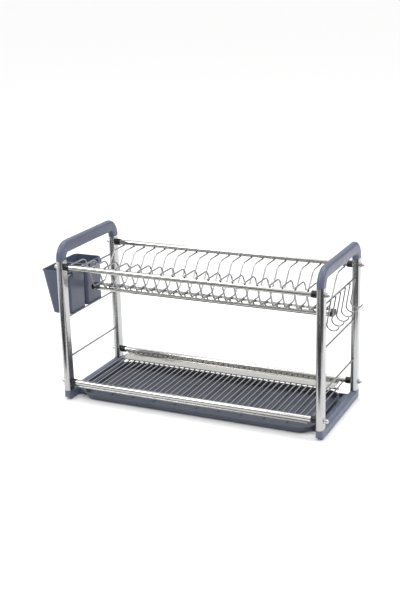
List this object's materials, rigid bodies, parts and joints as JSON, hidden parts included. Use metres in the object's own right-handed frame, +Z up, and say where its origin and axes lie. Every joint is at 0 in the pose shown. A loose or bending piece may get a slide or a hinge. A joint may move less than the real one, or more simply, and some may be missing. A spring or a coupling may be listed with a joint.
{
  "type": "dish drying rack",
  "caption": "Two-tier steel tube dish rack: plate cradle, wire shelf over a sliding drip tray, hanging cutlery cups and mug hooks",
  "frame": {"origin": "on the worktop at the middle of the whole rack's footprint, cups and hooks included", "axes": "+X along the rack from the cutlery cups to the mug hooks, +Y to the back, +Z up"},
  "size_m": [0.6584, 0.247, 0.347],
  "materials": {
    "satin_steel": "satin stainless tube",
    "polished_steel": "polished stainless tube",
    "wire_steel": "electropolished stainless wire",
    "frame_plastic": "slate blue moulded plastic, fine satin grain",
    "tray_plastic": "slate blue moulded plastic tray",
    "cup_plastic": "slate blue moulded plastic",
    "black_plastic": "black moulded plastic",
    "screw_steel": "plated dome head",
    "insert_plastic": "natural nylon"
  },
  "bodies": {
    "frame": {"upright_front_left": "satin_steel", "upright_rear_left": "satin_steel", "upright_front_right": "satin_steel", "upright_rear_right": "satin_steel", "bottom_front_tube": "polished_steel", "top_front_tube": "polished_steel", "bottom_rear_tube": "polished_steel", "top_rear_tube": "polished_steel", "cradle_bar": "polished_steel", "left_bottom_rung": "wire_steel", "left_middle_rung": "wire_steel", "left_top_rung": "wire_steel", "right_bottom_rung": "wire_steel", "right_middle_rung": "wire_steel", "right_top_rung": "wire_steel", "plate_wire_01": "wire_steel", "plate_wire_02": "wire_steel", "plate_wire_03": "wire_steel", "plate_wire_04": "wire_steel", "plate_wire_05": "wire_steel", "plate_wire_06": "wire_steel", "plate_wire_07": "wire_steel", "plate_wire_08": "wire_steel", "plate_wire_09": "wire_steel", "plate_wire_10": "wire_steel", "plate_wire_11": "wire_steel", "plate_wire_12": "wire_steel", "plate_wire_13": "wire_steel", "plate_wire_14": "wire_steel", "plate_wire_15": "wire_steel", "plate_wire_16": "wire_steel", "plate_wire_17": "wire_steel", "plate_wire_18": "wire_steel", "plate_wire_19": "wire_steel", "plate_wire_20": "wire_steel", "plate_wire_21": "wire_steel", "shelf_wires": "wire_steel", "shelf_front_rod": "wire_steel", "shelf_rear_rod": "wire_steel", "shelf_rear_rail": "polished_steel", "mug_hook_1": "wire_steel", "mug_hook_2": "wire_steel", "mug_hook_3": "wire_steel", "mug_hook_4": "wire_steel", "mug_hook_5": "wire_steel", "mug_hook_6": "wire_steel", "left_handle": "frame_plastic", "right_handle": "frame_plastic", "left_foot": "frame_plastic", "right_foot": "frame_plastic", "tube_collars": "black_plastic", "cradle_bar_caps": "black_plastic", "dome_screws": "screw_steel", "screw_washers": "screw_steel", "tube_inserts": "insert_plastic"},
    "tray": {"drip_tray": "tray_plastic"},
    "front_cup": {"front_cutlery_cup": "cup_plastic"},
    "rear_cup": {"rear_cutlery_cup": "cup_plastic"}
  },
  "joints": [
    {"name": "tray_slide", "type": "slide", "parent": "frame", "child": "tray", "axis": [0, -1, 0], "range_m": [0, 0.18]},
    {"name": "front_cup_lift", "type": "slide", "parent": "frame", "child": "front_cup", "axis": [0, 0, 1], "range_m": [0, 0.04]},
    {"name": "rear_cup_lift", "type": "slide", "parent": "frame", "child": "rear_cup", "axis": [0, 0, 1], "range_m": [0, 0.04]}
  ]
}
